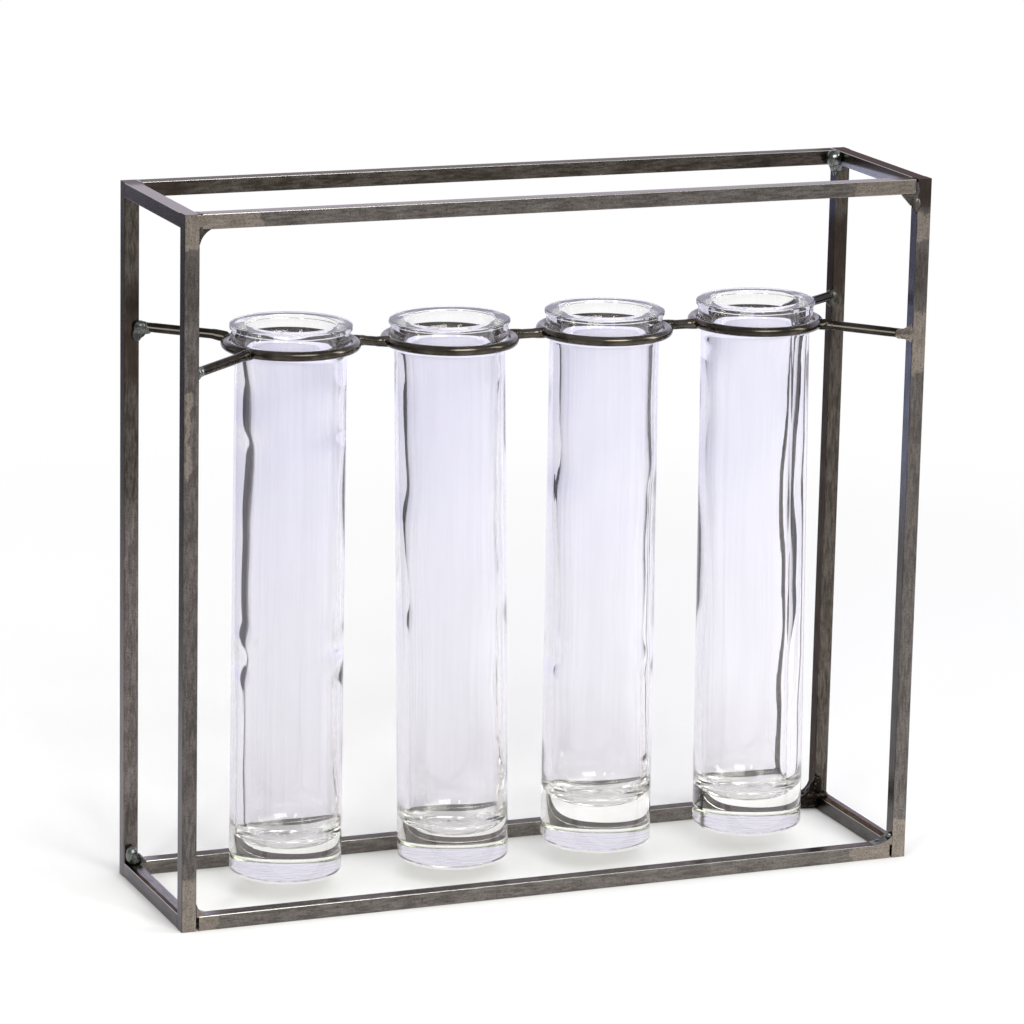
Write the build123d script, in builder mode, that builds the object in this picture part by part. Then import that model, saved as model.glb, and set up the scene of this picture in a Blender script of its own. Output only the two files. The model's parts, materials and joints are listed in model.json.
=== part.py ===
from build123d import *
import os
from math import cos, radians, sin, tan

# Test tube vase: glass tubes hang in a row of wire rings inside a welded steel bar frame.
# Millimetres, +Z up, +X along the row of tubes, +Y to the back.
# The origin is on the floor, under the middle of the frame.

# Glass tubes, from the lip down
tube_length = 184.0
lip_rise = 7.8  # from the ring's middle up to the top of the lip
lip_height = 4.2
lip_overhang = 0.9  # the lip beyond the seat
lip_top_rounding = 1.8
lip_foot_rounding = 0.8
mouth_flare = 0.6  # the mouth beyond the bore
mouth_depth = 12.0
mouth_rounding = 1.5
groove_depth = 0.4  # between the lip and the shoulder
groove_height = 0.7
seat_step = 1.0  # the seat beyond the body
seat_taper = 11.4  # degrees
shoulder_rise = 2.2  # from the ring's middle up to the end of the seat
body_radius = 18.2
base_flare = 0.45  # the base beyond the top of the body
wall = 3.3
heel_rounding = 2.5
cavity_rounding = 5.5
base_thicknesses = (10.0, 10.0, 12.5, 10.0)
leans = (-0.1, 1.4, 0.4, 0.9)  # degrees, each tube's foot towards +X

# Wire rings, the links between them and the arms to the posts
wire_diameter = 3.2
seat_clearance = 0.35  # between a tube's seat and its ring
link_gap = 9.6  # clear gap between two rings
ring_lifts = (1.4, 0.0, 0.0, 0.0)  # each ring above the common height

# Bar frame around the row
bar_size = 5.0
bar_edge_rounding = 0.4
floor_gap = 7.3  # under the tubes
headroom = 51.5  # from the rings up to the top of the frame
end_gap = 19.5  # between an end ring and the inner face of the posts
side_gap = 5.7  # between the rings and the inner face of the rails
fit_gap = 0.9  # between a post and the end of a long rail, filled by weld from the inside

# Arms by corner: the ring end above its ring, and the post end above the common ring height
arm_lifts = {
    "front_left": (0.0, -0.4),
    "rear_left": (1.4, 4.0),
    "front_right": (0.0, -1.6),
    "rear_right": (0.6, 0.9),
}

# Welds
post_weld_swell = 1.4  # ball of weld on a post, beyond the wire
post_weld_flare = 2.0
ring_weld_swell = 0.7  # ball of weld on a ring, beyond the wire
ring_weld_flare = 0.6
ring_weld_outset = 0.9  # from the ring's middle line out to the ball
corner_weld_hollow = 0.38  # where the middle of the hollow face lies, as a share of each leg

# Corner fillets: leg along the long rail, leg along the post, share of the fit gap that is filled
corner_fillets = {
    "top_front_left": (3.6, 4.7, 1.0),
    "top_front_right": (5.2, 3.9, 0.25),
    "top_rear_left": (2.5, 2.5, 1.0),
    "top_rear_right": (1.8, 2.8, 1.0),
    "bottom_front_left": (4.0, 4.1, 0.4),
    "bottom_front_right": (6.5, 2.8, 0.35),
    "bottom_rear_left": (2.4, 2.9, 1.0),
    "bottom_rear_right": (3.0, 3.4, 1.0),
}

# Corner beads: radius, then inwards from the inner corner along the long rail, short rail and post.
# Each ball is turned so that its poles lie away from the faces of the bars.
bead_turn = (35, 25, 0)
corner_beads = {
    "top_front_left": (2.2, 0.0, 0.0, 0.0),
    "top_front_right": (1.9, 0.6, -3.0, 2.6),
    "top_rear_left": (1.6, 0.3, 0.3, -3.4),
    "top_rear_right": (2.7, 0.0, 0.0, 0.0),
    "bottom_front_left": (2.2, 0.0, 0.0, 0.0),
    "bottom_front_right": (1.3, 0.6, -3.4, 2.6),
    "bottom_rear_left": (2.4, -1.5, 0.3, 4.6),
    "bottom_rear_right": (3.2, 0.3, 0.3, 0.3),
}

# Rings follow the tubes' seat
wire_radius = wire_diameter / 2
seat_radius = body_radius + seat_step
ring_radius = seat_radius + (wire_radius + seat_clearance) / cos(radians(seat_taper))
ring_outer_radius = ring_radius + wire_radius
ring_pitch = 2 * ring_outer_radius + link_gap
ring_height = floor_gap + tube_length - lip_rise
ring_count = len(ring_lifts)
row_half_length = (ring_count - 1) * ring_pitch / 2
ring_centres = [
    Vector(index * ring_pitch - row_half_length, 0, ring_height + lift)
    for index, lift in enumerate(ring_lifts)
]

# Frame follows the row of rings
inner_x = row_half_length + ring_outer_radius + end_gap
inner_y = ring_outer_radius + side_gap
frame_height = ring_height + headroom
bar_x = inner_x + bar_size / 2
bar_y = inner_y + bar_size / 2
x_sides = {"left": -1, "right": 1}
y_sides = {"front": -1, "rear": 1}
bar_levels = {"bottom": bar_size / 2, "top": frame_height - bar_size / 2}

# Centre and size of every bar: posts run full height, rails fit between them
long_rail = 2 * (inner_x - fit_gap)
short_rail = 2 * inner_y
bar_boxes = {}
for y_name, y_side in y_sides.items():
    for x_name, x_side in x_sides.items():
        post_centre = (x_side * bar_x, y_side * bar_y, frame_height / 2)
        bar_boxes[f"post_{y_name}_{x_name}"] = (post_centre, (bar_size, bar_size, frame_height))
for level_name, level in bar_levels.items():
    for y_name, y_side in y_sides.items():
        rail_centre = (0, y_side * bar_y, level)
        bar_boxes[f"rail_{level_name}_{y_name}"] = (rail_centre, (long_rail, bar_size, bar_size))
    for x_name, x_side in x_sides.items():
        rail_centre = (x_side * bar_x, 0, level)
        bar_boxes[f"rail_{level_name}_{x_name}"] = (rail_centre, (bar_size, short_rail, bar_size))

os.makedirs("parts", exist_ok=True)


def save(piece, name):
    """Labels a finished piece and writes it under its name."""
    piece.label = name
    export_step(piece, f"parts/{name}.step")


def wire_between(start, end):
    """A straight round wire with square ends."""
    with BuildPart(Plane(origin=start, z_dir=end - start)) as wire:
        Cylinder(wire_radius, (end - start).length, align=(Align.CENTER, Align.CENTER, Align.MIN))
    return wire.part


def weld_reach(swell, flare):
    """Distance from the middle of a weld ball back to the square end of its wire."""
    return wire_radius + swell + flare


def weld_on_wire(centre, direction, swell, flare):
    """A ball of weld metal with a hollow flare back to its wire, which comes along direction."""
    ball_radius = wire_radius + swell
    reach = weld_reach(swell, flare)
    across = direction.cross(Vector(0, 0, 1))
    with BuildPart() as weld:
        with BuildSketch(Plane(origin=centre, x_dir=direction, z_dir=across)) as profile:
            Circle(ball_radius)
            with Locations((-reach / 2, 0)):
                Rectangle(reach, 2 * wire_radius)
            necks = profile.vertices().sort_by_distance((-ball_radius, 0))[:2]
            fillet(necks, flare)
            Rectangle(3 * reach, reach, align=(Align.CENTER, Align.MAX), mode=Mode.SUBTRACT)
        revolve(axis=Axis(centre, direction))
    return weld.part


# Steel bars, with their long edges eased
for name, (centre, size) in bar_boxes.items():
    with BuildPart() as bar:
        with Locations(centre):
            Box(*size)
        long_edges = bar.edges().sort_by(SortBy.LENGTH)[-4:]
        fillet(long_edges, bar_edge_rounding)
    save(bar.part, name)

# Corner welds: a hollow fillet between post and long rail, with its root in the gap, and a round bead
for level_name, level in bar_levels.items():
    z_side = 1 if level_name == "top" else -1
    for y_name, y_side in y_sides.items():
        for x_name, x_side in x_sides.items():
            corner = f"{level_name}_{y_name}_{x_name}"
            rail_leg, post_leg, filled_share = corner_fillets[corner]
            bead_radius, bead_x, bead_y, bead_z = corner_beads[corner]
            corner_z = level - z_side * bar_size / 2
            hollow_middle = (corner_weld_hollow * rail_leg, corner_weld_hollow * post_leg)
            bead_centre = (
                x_side * (inner_x - bead_x),
                y_side * (inner_y - bead_y),
                corner_z - z_side * bead_z,
            )
            fillet_plane = Plane(
                origin=(x_side * inner_x, y_side * bar_y, corner_z),
                x_dir=(-x_side, 0, 0),
                z_dir=(0, -x_side * z_side, 0),
            )
            meeting_bars = (
                f"post_{y_name}_{x_name}",
                f"rail_{level_name}_{y_name}",
                f"rail_{level_name}_{x_name}",
            )
            with BuildPart() as corner_weld:
                with Locations(bead_centre):
                    Sphere(bead_radius, rotation=bead_turn)
                for bar_name in meeting_bars:
                    bar_centre, size = bar_boxes[bar_name]
                    with Locations(bar_centre):
                        Box(*size, mode=Mode.SUBTRACT)
                with BuildSketch(fillet_plane):
                    with BuildLine():
                        Polyline((0, post_leg), (0, 0), (rail_leg, 0))
                        ThreePointArc((rail_leg, 0), hollow_middle, (0, post_leg))
                    make_face()
                    Rectangle(fit_gap, filled_share * bar_size, align=(Align.MIN, Align.MAX))
                extrude(amount=bar_size / 2, both=True)
            save(corner_weld.part, f"weld_{corner}")

# Wire rings
rings = []
for number, centre in enumerate(ring_centres, 1):
    with BuildPart(Plane(origin=centre)) as ring:
        Torus(ring_radius, wire_radius)
    rings.append(ring.part)
    save(ring.part, f"ring_{number}")

# Short wire links between neighbouring rings, welded at both ends
ring_reach = weld_reach(ring_weld_swell, ring_weld_flare)
for index in range(ring_count - 1):
    outset = Vector(ring_radius + ring_weld_outset, 0, 0)
    start = ring_centres[index] + outset
    end = ring_centres[index + 1] - outset
    along = (end - start).normalized()
    link = wire_between(start + along * ring_reach, end - along * ring_reach)
    save(link, f"link_{index + 1}")
    with BuildPart() as link_weld:
        add(weld_on_wire(start, -along, ring_weld_swell, ring_weld_flare))
        add(weld_on_wire(end, along, ring_weld_swell, ring_weld_flare))
        add(rings[index], mode=Mode.SUBTRACT)
        add(rings[index + 1], mode=Mode.SUBTRACT)
    save(link_weld.part, f"link_weld_{index + 1}")

# Arms from the end rings out to the inner edges of the posts
post_reach = weld_reach(post_weld_swell, post_weld_flare)
for y_name, y_side in y_sides.items():
    for x_name, x_side in x_sides.items():
        corner = f"{y_name}_{x_name}"
        ring_index = 0 if x_side < 0 else ring_count - 1
        ring_lift, post_lift = arm_lifts[corner]
        post_point = Vector(x_side * inner_x, y_side * inner_y, ring_height + post_lift)
        hub = ring_centres[ring_index] + Vector(0, 0, ring_lift)
        outward = Vector(post_point.X - hub.X, post_point.Y - hub.Y, 0).normalized()
        ring_point = hub + outward * (ring_radius + ring_weld_outset)
        along = (post_point - ring_point).normalized()
        arm = wire_between(ring_point + along * ring_reach, post_point - along * post_reach)
        save(arm, f"arm_{corner}")
        with BuildPart() as ring_weld:
            add(weld_on_wire(ring_point, -along, ring_weld_swell, ring_weld_flare))
            add(rings[ring_index], mode=Mode.SUBTRACT)
        save(ring_weld.part, f"arm_ring_weld_{corner}")
        with BuildPart() as post_weld:
            add(weld_on_wire(post_point, along, post_weld_swell, post_weld_flare))
            post_centre, size = bar_boxes[f"post_{corner}"]
            with Locations(post_centre):
                Box(*size, mode=Mode.SUBTRACT)
        save(post_weld.part, f"arm_post_weld_{corner}")

# Glass tubes, each turned about its own leaning axis through the middle of its ring.
# Heights along the axis are counted from the ring.
foot = lip_rise - tube_length
seat_foot = -seat_step / tan(radians(seat_taper))
shoulder_radius = seat_radius + shoulder_rise * tan(radians(seat_taper))
groove_radius = shoulder_radius - groove_depth
lip_foot = lip_rise - lip_height
lip_radius = seat_radius + lip_overhang
bore_radius = body_radius - wall
mouth_radius = bore_radius + mouth_flare
base_radius = body_radius + base_flare
for number, (centre, lean, base_thickness) in enumerate(zip(ring_centres, leans, base_thicknesses), 1):
    cavity_floor = foot + base_thickness
    roundings = [
        ((base_radius, foot), heel_rounding),
        ((lip_radius, lip_foot), lip_foot_rounding),
        ((lip_radius, lip_rise), lip_top_rounding),
        ((mouth_radius, lip_rise), mouth_rounding),
        ((bore_radius, cavity_floor), cavity_rounding),
    ]
    tilt = radians(lean)
    profile_plane = Plane(origin=centre, x_dir=(cos(tilt), 0, sin(tilt)), z_dir=(0, -1, 0))
    with BuildPart() as tube:
        with BuildSketch(profile_plane) as profile:
            with BuildLine():
                Polyline(
                    (0, foot),
                    (base_radius, foot),
                    (body_radius, seat_foot),
                    (shoulder_radius, shoulder_rise),
                    (groove_radius, shoulder_rise + groove_height),
                    (lip_radius, lip_foot),
                    (lip_radius, lip_rise),
                    (mouth_radius, lip_rise),
                    (bore_radius, lip_rise - mouth_depth),
                    (bore_radius, cavity_floor),
                    (0, cavity_floor),
                    close=True,
                )
            make_face()
            for point, rounding in roundings:
                fillet(profile.vertices().sort_by_distance(point)[0], rounding)
        revolve(axis=Axis(centre, (-sin(tilt), 0, cos(tilt))))
    save(tube.part, f"glass_tube_{number}")
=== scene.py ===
import json
import math
import random
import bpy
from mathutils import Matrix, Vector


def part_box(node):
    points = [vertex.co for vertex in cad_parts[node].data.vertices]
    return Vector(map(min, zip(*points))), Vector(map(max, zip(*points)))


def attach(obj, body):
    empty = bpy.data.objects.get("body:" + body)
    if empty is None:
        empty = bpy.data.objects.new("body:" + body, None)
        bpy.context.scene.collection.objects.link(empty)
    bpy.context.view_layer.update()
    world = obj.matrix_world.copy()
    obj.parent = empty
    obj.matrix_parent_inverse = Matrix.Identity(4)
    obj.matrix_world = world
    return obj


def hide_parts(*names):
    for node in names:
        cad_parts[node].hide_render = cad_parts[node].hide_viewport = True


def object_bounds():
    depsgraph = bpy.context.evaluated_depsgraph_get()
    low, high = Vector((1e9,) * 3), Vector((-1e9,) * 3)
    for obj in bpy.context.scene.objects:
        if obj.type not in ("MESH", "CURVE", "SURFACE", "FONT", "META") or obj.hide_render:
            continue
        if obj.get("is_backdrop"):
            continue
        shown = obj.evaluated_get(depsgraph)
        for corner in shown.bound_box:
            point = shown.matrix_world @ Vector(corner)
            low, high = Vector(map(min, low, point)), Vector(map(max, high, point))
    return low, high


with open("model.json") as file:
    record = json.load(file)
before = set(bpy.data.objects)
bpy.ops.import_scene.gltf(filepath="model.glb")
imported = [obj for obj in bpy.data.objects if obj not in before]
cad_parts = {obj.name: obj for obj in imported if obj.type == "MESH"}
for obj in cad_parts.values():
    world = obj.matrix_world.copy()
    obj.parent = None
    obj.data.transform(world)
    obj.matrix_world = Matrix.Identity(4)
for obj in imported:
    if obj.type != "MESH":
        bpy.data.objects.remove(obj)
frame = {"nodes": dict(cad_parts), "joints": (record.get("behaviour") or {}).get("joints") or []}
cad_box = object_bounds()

from types import SimpleNamespace

import bpy
import numpy as np
from mathutils import Matrix, Vector

# Looks of a test tube vase: wavy clear glass tubes in a welded frame of dark steel bar and wire.
# Sizes on the vase are written in millimetres and turned into metres with mm. The studio is in metres.
mm = 0.001
white = (1.0, 1.0, 1.0, 1.0)

# Camera, in front of the vase and to its left
camera_place = Vector((-597.2, -1446.8, 498.5)) * mm
camera_yaw = math.radians(22.287)
camera_pitch = math.radians(13.497)
camera_roll = math.radians(1.196)
image_size = 1024
focal_pixels = 4833.58
sensor_width = 36.0
clip_distance = 100
camera_side = (math.cos(camera_yaw), -math.sin(camera_yaw), 0)
camera_away = (math.sin(camera_yaw), math.cos(camera_yaw), 0)

# Floor colour for the camera, at the left and at the right, so that it is white outside the shadows
floor_left = (1.09, 1.09, 1.04, 1.0)
floor_right = (0.95, 0.95, 0.925, 1.0)
floor_sides = (-0.25, 0.1)
floor_shadow = (0.1, 0.1, 0.1, 1.0)
shadow_reach = 60
shadow_share = 0.24
floor_size = 12.0

# Floor that the vase mirrors: a lit sheet, as (near, far) colours, that widens between dim gaps. It starts
# where the darker front of the floor ends
sheet_left = ((0.895, 0.88, 0.915, 1.0), (0.905, 0.89, 1.03, 1.0))
sheet_right = ((0.965, 0.95, 0.975, 1.0), (1.04, 1.025, 1.13, 1.0))
sheet_front = (-0.3, 0.0)
sheet_ends = (0.1, 0.8)
sheet_sides = (-0.25, 0.25)
sheet_widening = 0.63
gap_edge = (0.2, 0.22)
gap_start = (0.05, 0.15)
gap_end = (1.5, 1.65)

# Distances at which the floor turns white for the camera and into the studio for reflections, and how far
# behind the vase it starts to look the same through glass as beside it
white_from = (0.3, 0.7)
studio_from = (1.55, 2.0)
plain_through_glass = (0.3, 0.5)

# Studio colours that the vase mirrors: the dim front, the pale backdrop and the ceiling
studio_dim = (0.5, 0.5, 0.53, 1.0)
studio_pale = (0.97, 0.95, 1.15, 1.0)
studio_ceiling = (0.6, 0.6, 0.63, 1.0)
studio_turn = (-0.2, 0.7)
ceiling_from = (0.3, 0.6)
lamp_target = Vector((0, 0, 0.1))

# Glass tube profile, heights counted along the tube's axis from the middle of its ring
lip_rises = (6.8, 6.8, 6.9, 7.25)
lip_heights = (1.9, 1.2, 1.4, 1.7)
lip_radius = 20.0
lip_slope = 0.1
neck_radius = 19.4
neck_top = 1.2
neck_foot = -3.0
body_radius = 18.2
base_radius = 18.65
bore_radius = 14.9
hollow_radius = 14.2
hollow_rise = 0.8
hollow_slope = 1.0
tube_feet = (-178.0, -177.5, -176.9, -176.4)
base_thicknesses = (10.3, 10.2, 14.6, 10.9)

# Roundings of the profile's corners, from the foot up over the lip and down the bore
hollow_rounding = 0.5
heel_rounding = 1.75
shoulder_rounding = 5.0
neck_rounding = 3.0
lip_foot_rounding = 0.2
lip_edge_rounding = 0.3
lip_top_rounding = 0.6
mouth_rounding = 0.35
cavity_rounding = 8.5

# Steps along and around the profile
profile_step = 1.6
arc_step = math.radians(9)
turn_count = 240

# The two mould seams of each tube: turn in degrees, height, and half width in radians
seam_turns = (-32, 32, -58, 40)
seam_reach = 0.06
seam_width = 0.022
seam_margin = 1

# Waves of the bores: lobes around, length of a wave along the bore, and reach
bore_waves = ((2, 130, 0.2), (3, 80, 0.1), (2, 45, 0.05), (5, 38, 0.03), (4, 60, 0.04))
wave_onset = 20
cavity_floor_share = 0.8

# How far each bore drifts to the right of its tube's axis, as (height, drift) points
bore_drifts = (
    ((5, 0.0), (-16, 1.1), (-27, 0.9), (-34, 1.5), (-62, 1.2), (-92, 0.9), (-99, 0.5), (-106, 1.1),
     (-114, 0.5), (-140, 0.55), (-158, 0.8), (-168, 0.3)),
    ((5, 0.1), (-16, 0.6), (-50, 0.5), (-62, 0.15), (-88, 0.6), (-98, 0.2), (-150, 0.2), (-168, 0.3)),
    ((5, 0.0), (-30, 0.2), (-46, 0.5), (-58, 0.0), (-104, 0.1), (-112, 0.5), (-120, 0.0), (-165, 0.1)),
    ((5, 0.0), (-18, -0.8), (-34, -0.5), (-60, -1.1), (-90, -0.7), (-104, -0.4), (-130, -0.8),
     (-158, -0.6), (-168, -0.3)),
)

# Glass: its film all over, low down and at the foot, the patches underneath, and the heights they reach
film_grey = (0.975, 0.975, 0.975, 1.0)
low_grey = (0.962, 0.957, 0.957, 1.0)
foot_grey = (0.86, 0.85, 0.82, 1.0)
patch_tints = ((0.58, 0.58, 0.53, 1.0), (1.0, 1.0, 0.95, 1.0))
low_until = (36, 60)
foot_until = (10, 15)
underside_until = (10, 12)

# Glass: its colour in depth, the light that its shadow lets through, and how far it bends light
glass_depth = (0.64, 0.67, 0.42, 1.0)
glass_density = 4.6
glass_shadow = (0.68, 0.68, 0.68, 1.0)
glass_bending = 1.5

# Where the bars' finish, with its painted shade and reflections, turns into that of the upper half, the
# rear and the two sides
upper_half = (112, 135)
rear_side = (20, 28)
left_side = (-122, -115)
right_side = (115, 122)

# Left faces at the right with a painted bluish reflection: from which height, how much higher at the rear,
# and the painted pale reflection band along the top rail
painted_blue_from = (105, 145)
painted_blue_rear_rise = 70
painted_band_foot = (228, 230.5)
painted_band_top = (232, 233)
painted_band_slope = 0.04

# Where the painted reflection on the tops of the short bottom rails turns from dull to bright, from left to
# right
painted_left_stripe_edge = (-128.8, -128.2)
painted_right_stripe_edge = (127.6, 128.2)

# Weld metal: the depth of the fronts that are filed, and the top of the painted shade of the slits at the
# bottom corners
filed_depth = (-33.4, -33.2)
painted_slit_top = (4.5, 4.9)

# Places on the bars as seen from the front, from (x, z) to (x, z): filed bright, scorched and dimmed
filed_boxes = [
    ((-131, 224), (-124, 236)),
    ((-126, 229), (-104, 236)),
    ((102, 229), (124.4, 236)),
    ((124, 214), (131, 223)),
    ((124, 169), (131, 190)),
    ((124, -1), (131, 14)),
    ((110, -1), (126, 6)),
    ((-131, -1), (-124, 18)),
    ((-126, -1), (-118, 6)),
    ((-130, 150), (-128, 178)),
]
front_scorches = [((119, 225), (138, 242))]
front_dims = [((123, 193), (131, 211)), ((-131, 204), (-124, 223))]
rear_scorches = [((-131, 168), (-123, 200)), ((122, 185), (131, 212)), ((-126, 229), (-108, 236))]
filed_softness = 0.7
scorch_softness = 4.0
ragged_reach = 3

# Hand-laid welds, as lumps of (x, y, z, x radius, y radius, z radius) that run into each other
corner_lumps = {
    "top_rear_right": [(122.8, 26.2, 232.6, 2.9, 2.6, 2.8), (124.2, 28.2, 228.6, 0.9, 1.1, 2.8)],
    "top_front_right": [(121.4, -31.6, 229.8, 1.4, 1.6, 1.4), (122.0, -31.6, 229.2, 1.4, 1.6, 1.4),
                        (122.6, -31.6, 228.6, 1.4, 1.6, 1.4), (123.1, -31.7, 228.0, 1.4, 1.6, 1.4),
                        (123.6, -31.7, 227.5, 1.4, 1.6, 1.4), (125.0, -32.5, 226.4, 1.7, 1.4, 3.0)],
    "bottom_rear_left": [(-127.8, 26.7, 8.1, 2.1, 2.2, 3.1), (-127.2, 26.6, 5.9, 1.9, 1.8, 1.3),
                         (-124.8, 28.4, 7.1, 0.8, 2.3, 0.8), (-124.4, 28.4, 6.7, 0.8, 2.3, 0.8),
                         (-124.0, 28.4, 6.2, 0.8, 2.3, 0.8), (-123.6, 28.4, 5.8, 0.8, 2.3, 0.8),
                         (-123.2, 28.4, 5.3, 0.8, 2.3, 0.8), (-124.4, 28.4, 5.6, 1.0, 2.3, 1.0),
                         (-124.6, 28.5, 2.6, 0.75, 2.4, 2.5)],
    "bottom_front_right": [(121.8, -29.6, 5.0, 1.7, 1.5, 0.8), (124.5, -29.9, 5.8, 1.1, 1.4, 1.3)],
}
burnt_lumps = [
    (123.6, 26.6, 4.0, 4.0, 2.4, 3.0),
    (124.8, 26.8, 7.4, 2.6, 2.0, 3.2),
    (125.6, 26.9, 9.8, 1.8, 1.6, 2.4),
    (121.0, 27.0, 3.4, 2.3, 1.8, 2.2),
    (127.2, 26.4, 4.6, 2.2, 2.4, 2.4),
]
arm_lumps = {
    "front_left": [(-122.6, -26.8, 183.3, 1.75, 1.75, 1.75), (-124.2, -27.9, 183.1, 1.8, 2.0, 2.4)],
    "front_right": [(122.9, -28.1, 181.9, 1.65, 1.7, 1.7), (123.6, -29.3, 182.1, 1.6, 1.8, 1.85),
                    (124.3, -30.7, 182.4, 1.4, 1.8, 2.2), (124.9, -31.8, 182.7, 1.2, 1.6, 2.8),
                    (125.5, -32.4, 182.8, 1.0, 1.2, 3.6)],
    "rear_left": [(-122.8, 26.9, 187.0, 1.75, 1.75, 2.0), (-123.8, 27.6, 187.3, 1.8, 1.8, 2.0),
                  (-125.2, 27.6, 187.4, 2.2, 1.9, 2.3), (-124.6, 27.7, 185.8, 1.5, 1.5, 1.9),
                  (-126.0, 27.9, 185.0, 1.7, 1.3, 2.5)],
    "rear_right": [(123.6, 27.3, 184.2, 1.9, 1.8, 2.2), (124.2, 27.4, 183.8, 2.3, 1.7, 2.9),
                   (125.2, 27.7, 182.6, 2.2, 1.4, 2.6)],
}

# Ends of the arms' wire at the posts
arm_stub_radius = 1.6
arm_stub_length = 6.4
arm_stub_step = 0.4

# Joints of the wires and the rings: how deep the end of a wire is, lumps along it, and a nib at their front
wire_end_depth = 1.0
ring_joint_radii = (1.72, 1.8, 1.86, 1.9, 1.92)
nib_radius = 1.1
nib_reach = 2.2
nib_shift = Vector((0, -1.0, 0.5))

# Joints that are filled and filed flush at the front, from (x, z) to (x, z)
flush_boxes = {
    "top_front_left": [((-125.7, 231.2), (-123.9, 233.9))],
}
flush_front = -33.6
flush_radius = 1.0
flush_step = 0.6

# Surface of the welds: how the lumps are rounded and run together, and how rough each kind is
sphere_turns = 20
sphere_rows = 12
weld_voxel = 0.25
weld_smoothing = 6
weld_grain = 2.2
smooth_weld = 0.0
joint_roughness = 0.12
bead_roughness = 0.15
burnt_roughness = 0.45

nodes = frame["nodes"]
joint_axes = {joint["child"]: Vector(joint["axis"]).normalized() for joint in frame["joints"]}
tube_count = len(joint_axes)


# Shader node helpers


def fill(tree, made, inputs):
    """Sets plain values on the sockets of a shader node, and links sockets to them."""
    for name, value in inputs.items():
        if isinstance(value, bpy.types.NodeSocket):
            tree.links.new(value, made.inputs[name])
        else:
            made.inputs[name].default_value = value


def node(tree, kind, inputs=None, **settings):
    """A new shader node with its settings and inputs."""
    made = tree.nodes.new("ShaderNode" + kind)
    for name, value in settings.items():
        setattr(made, name, value)
    fill(tree, made, inputs or {})
    return made


def calculate(tree, operation, first, second=0.0, third=0.0):
    """The result of a math node."""
    made = node(tree, "Math", {0: first, 1: second, 2: third}, operation=operation)
    return made.outputs[0]


def multiply(tree, first, *others):
    """The product of several values."""
    total = first
    for other in others:
        total = calculate(tree, "MULTIPLY", total, other)
    return total


def ramp(tree, value, low, high, low_result=0.0, high_result=1.0):
    """A smooth step from one result to the other while value goes from low to high."""
    inputs = {0: value, 1: low, 2: high, 3: low_result, 4: high_result}
    return node(tree, "MapRange", inputs, interpolation_type="SMOOTHSTEP").outputs[0]


def span(tree, length, low, high, low_result=0.0, high_result=1.0):
    """A smooth step like ramp, with limits in millimetres."""
    return ramp(tree, length, low * mm, high * mm, low_result, high_result)


def blend(tree, share, first, second):
    """A colour between two colours."""
    made = node(tree, "Mix", {0: share, 6: first, 7: second}, data_type="RGBA")
    return made.outputs[2]


def noise(tree, place, scale, detail=2.0, roughness=0.5):
    """A noise value with about scale bumps to the metre."""
    inputs = {"Vector": place, "Scale": scale, "Detail": detail, "Roughness": roughness}
    return node(tree, "TexNoise", inputs).outputs[0]


def bump(tree, height, strength, depth):
    """A normal that follows a height, for bumps of a depth in millimetres."""
    inputs = {"Height": height, "Strength": strength, "Distance": depth * mm}
    return node(tree, "Bump", inputs).outputs[0]


def separate(tree, vector):
    """The X, Y and Z of a vector."""
    return node(tree, "SeparateXYZ", {0: vector}).outputs


def stretched(tree, place, factors):
    """Coordinates multiplied axis by axis."""
    return node(tree, "VectorMath", {0: place, 1: factors}, operation="MULTIPLY").outputs[0]


def reach_along(tree, place, direction):
    """How far a place lies along a direction."""
    inputs = {0: place, 1: direction}
    return node(tree, "VectorMath", inputs, operation="DOT_PRODUCT").outputs["Value"]


def start_material(name):
    """A new material with its node tree, main shader and object coordinates."""
    material = bpy.data.materials.new(name)
    material.use_nodes = True
    tree = material.node_tree
    place = node(tree, "TexCoord").outputs["Object"]
    return material, tree, tree.nodes["Principled BSDF"], place


def colour(red, green, blue):
    """A linear colour from screen values of 0 to 255."""
    def linear(value):
        share = value / 255
        return share / 12.92 if share <= 0.04045 else ((share + 0.055) / 1.055) ** 2.4
    return (linear(red), linear(green), linear(blue), 1.0)


# Bar steel


def box_mask(tree, place, low, high, soft):
    """One inside a box of x and z, in millimetres, and nothing outside, with ragged soft edges."""
    ragged = noise(tree, place, scale=260, detail=3)
    shift = calculate(tree, "MULTIPLY_ADD", ragged, 2 * ragged_reach * mm, -ragged_reach * mm)
    axes = separate(tree, place)
    sides = []
    for axis, start, end in (("X", low[0], high[0]), ("Z", low[1], high[1])):
        along = calculate(tree, "ADD", axes[axis], shift)
        sides.append(span(tree, along, start - soft, start + soft))
        sides.append(span(tree, along, end - soft, end + soft, 1.0, 0.0))
    return multiply(tree, *sides)


def mask_of(tree, place, boxes, soft):
    """The union of several box masks."""
    total = 0.0
    for low, high in boxes:
        total = calculate(tree, "MAXIMUM", total, box_mask(tree, place, low, high, soft))
    return total


def front_mask(tree, place, where, boxes, soft, strength):
    """The union of several boxes on the fronts of the front bars."""
    inside = multiply(tree, mask_of(tree, place, boxes, soft), where.forward)
    return ramp(tree, calculate(tree, "SUBTRACT", inside, where.rear), 0.0, 1.0, 0.0, strength)


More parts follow.
